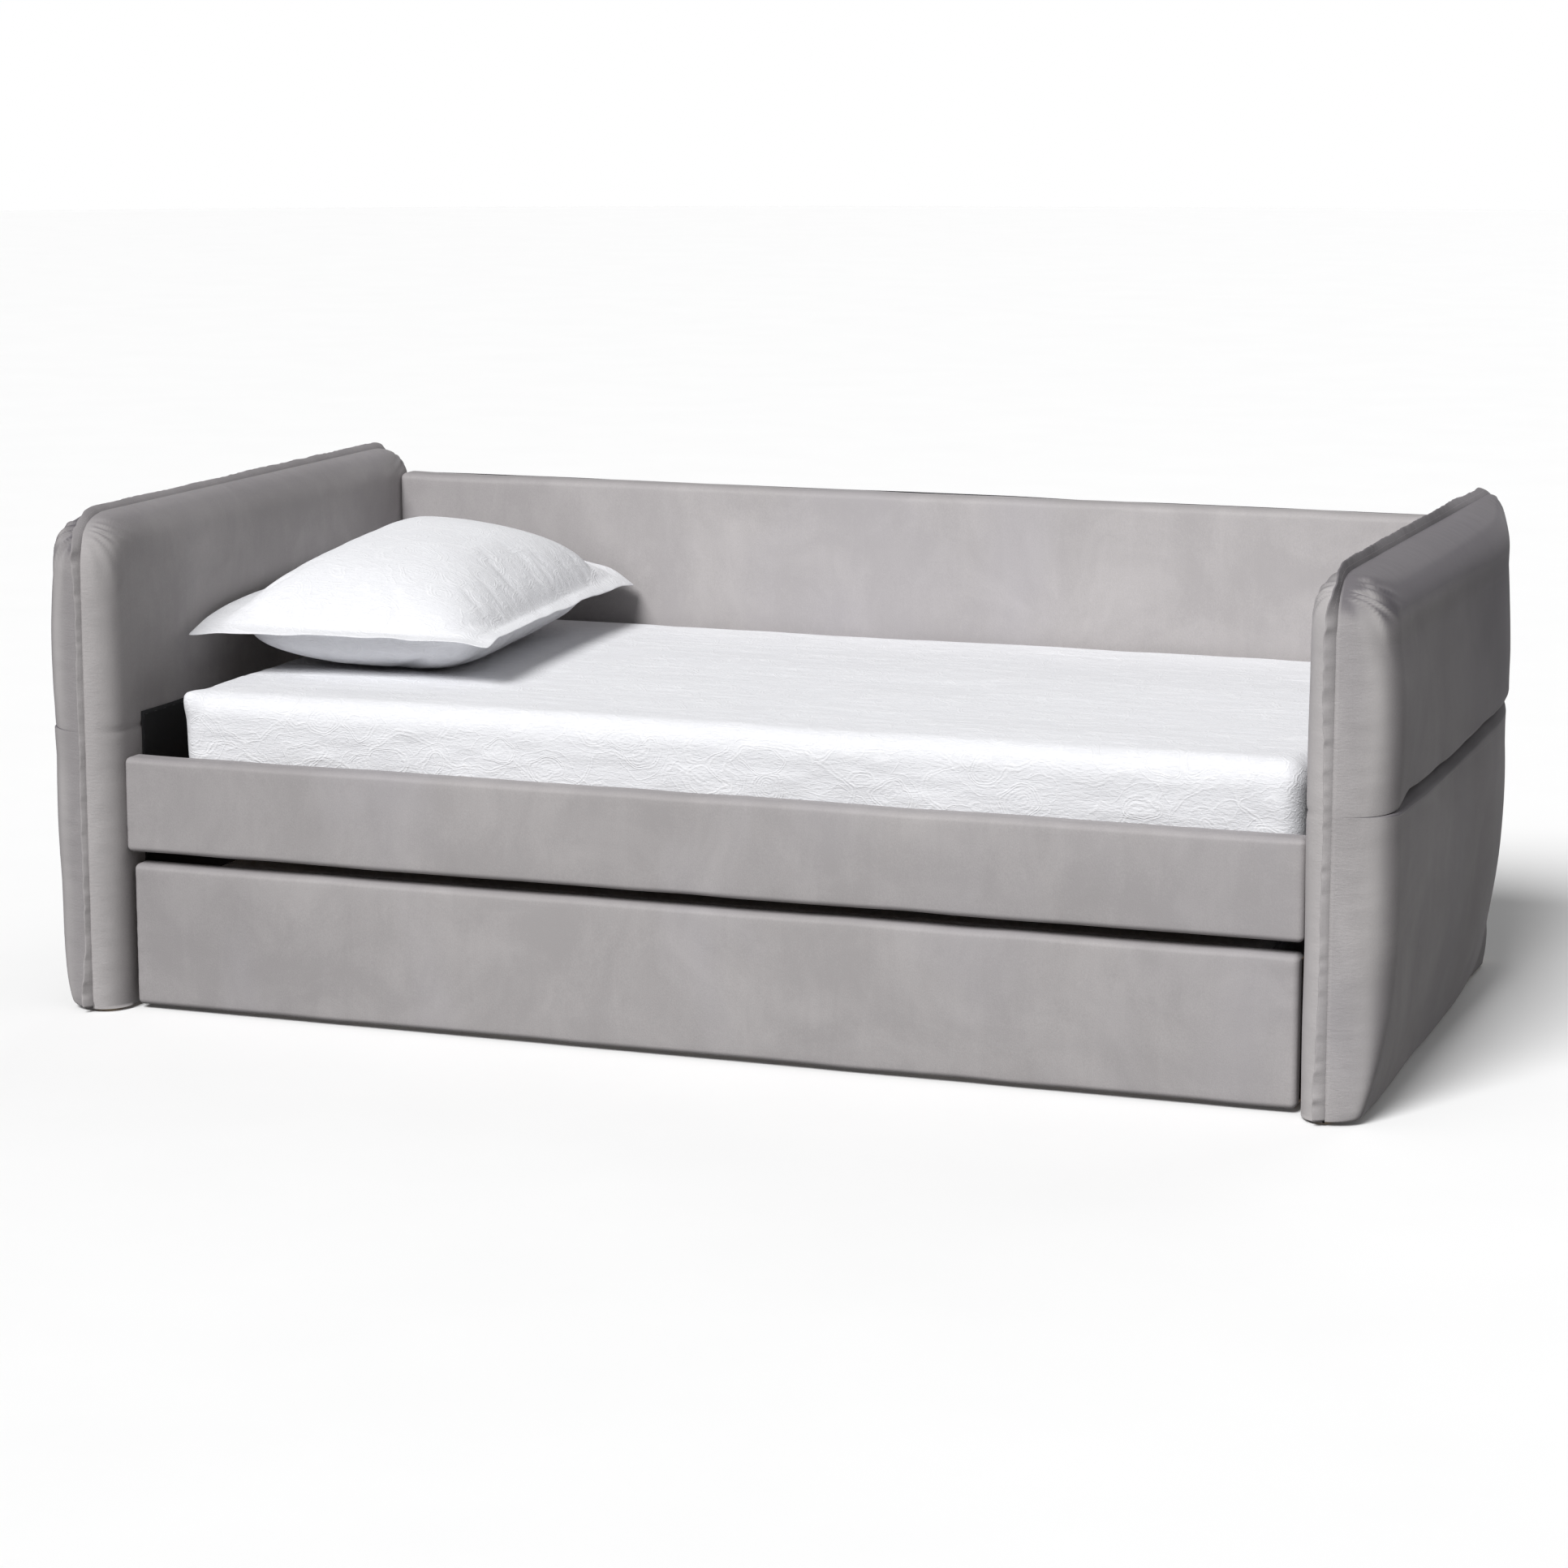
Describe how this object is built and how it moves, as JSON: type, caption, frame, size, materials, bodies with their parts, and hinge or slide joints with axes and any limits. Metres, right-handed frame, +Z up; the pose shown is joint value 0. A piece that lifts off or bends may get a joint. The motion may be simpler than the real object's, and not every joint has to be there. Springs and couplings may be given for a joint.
{
  "type": "trundle bed",
  "caption": "Upholstered daybed with puffy flanged sides, a padded back and rail, and a low trundle on fixed casters that rolls out of the front.",
  "frame": {"origin": "on the floor, in the middle of the bed's plan", "axes": "+X along the bed to the right end, seen from the front; -Y towards the front, where the trundle rolls out; +Z up"},
  "size_m": [2.25, 1.212, 0.838],
  "materials": {
    "velvet": "light warm grey velvet with a soft nap",
    "matelasse": "white quilted cotton with a raised pattern",
    "ticking": "plain white mattress cover",
    "lining": "black non-woven lining",
    "tape": "grey woven tape",
    "board": "bare plywood and softwood",
    "slat_wood": "bare poplar slats",
    "zinc": "bright zinc plate",
    "plastic": "black moulded plastic"
  },
  "bodies": {
    "bed_frame": {"left_core": "board", "left_inner_pad": "velvet", "left_seam_flange": "velvet", "left_outer_upper_pad": "velvet", "left_outer_lower_pad": "velvet", "left_dust_cover": "lining", "left_glides": "plastic", "right_core": "board", "right_inner_pad": "velvet", "right_seam_flange": "velvet", "right_outer_upper_pad": "velvet", "right_outer_lower_pad": "velvet", "right_dust_cover": "lining", "right_glides": "plastic", "front_rail_board": "board", "front_rail_cover": "velvet", "back_panel_board": "board", "back_panel_cover": "velvet", "back_lining": "velvet", "front_cleat": "board", "back_cleat": "board", "centre_beam": "board", "beam_brackets": "zinc", "corner_bracket_fl": "zinc", "corner_bracket_fr": "zinc", "corner_bracket_bl": "zinc", "corner_bracket_br": "zinc", "frame_bolts": "zinc", "bed_slat_01": "slat_wood", "bed_slat_02": "slat_wood", "bed_slat_03": "slat_wood", "bed_slat_04": "slat_wood", "bed_slat_05": "slat_wood", "bed_slat_06": "slat_wood", "bed_slat_07": "slat_wood", "bed_slat_08": "slat_wood", "bed_slat_09": "slat_wood", "bed_slat_10": "slat_wood", "bed_slat_11": "slat_wood", "bed_slat_12": "slat_wood", "slat_tapes": "tape", "mattress": "matelasse", "pillow": "matelasse"},
    "trundle": {"trundle_front_board": "board", "trundle_front_cover": "velvet", "trundle_left_rail": "board", "trundle_right_rail": "board", "trundle_back_rail": "board", "trundle_front_cleat": "board", "trundle_back_cleat": "board", "trundle_centre_beam": "board", "trundle_corner_blocks": "board", "trundle_slats": "slat_wood", "trundle_mattress": "ticking", "caster_forks": "zinc", "caster_axles": "zinc"},
    "wheel_fl": {"caster_wheel_fl": "plastic"},
    "wheel_fr": {"caster_wheel_fr": "plastic"},
    "wheel_bl": {"caster_wheel_bl": "plastic"},
    "wheel_br": {"caster_wheel_br": "plastic"}
  },
  "joints": [
    {"name": "trundle_roll_out", "type": "slide", "parent": "bed_frame", "child": "trundle", "axis": [0, -1, 0], "range_m": [0, 1.02]},
    {"name": "wheel_turn_fl", "type": "hinge", "parent": "trundle", "child": "wheel_fl", "pos_m": [-0.907, -0.467, 0.025], "axis": [1, 0, 0], "continuous": true},
    {"name": "wheel_turn_fr", "type": "hinge", "parent": "trundle", "child": "wheel_fr", "pos_m": [0.907, -0.467, 0.025], "axis": [1, 0, 0], "continuous": true},
    {"name": "wheel_turn_bl", "type": "hinge", "parent": "trundle", "child": "wheel_bl", "pos_m": [-0.907, 0.422, 0.025], "axis": [1, 0, 0], "continuous": true},
    {"name": "wheel_turn_br", "type": "hinge", "parent": "trundle", "child": "wheel_br", "pos_m": [0.907, 0.422, 0.025], "axis": [1, 0, 0], "continuous": true}
  ],
  "couplings": [
    {"joint": "wheel_turn_fl", "follows": "trundle_roll_out", "rad_per_m": 40},
    {"joint": "wheel_turn_fr", "follows": "trundle_roll_out", "rad_per_m": 40},
    {"joint": "wheel_turn_bl", "follows": "trundle_roll_out", "rad_per_m": 40},
    {"joint": "wheel_turn_br", "follows": "trundle_roll_out", "rad_per_m": 40}
  ]
}
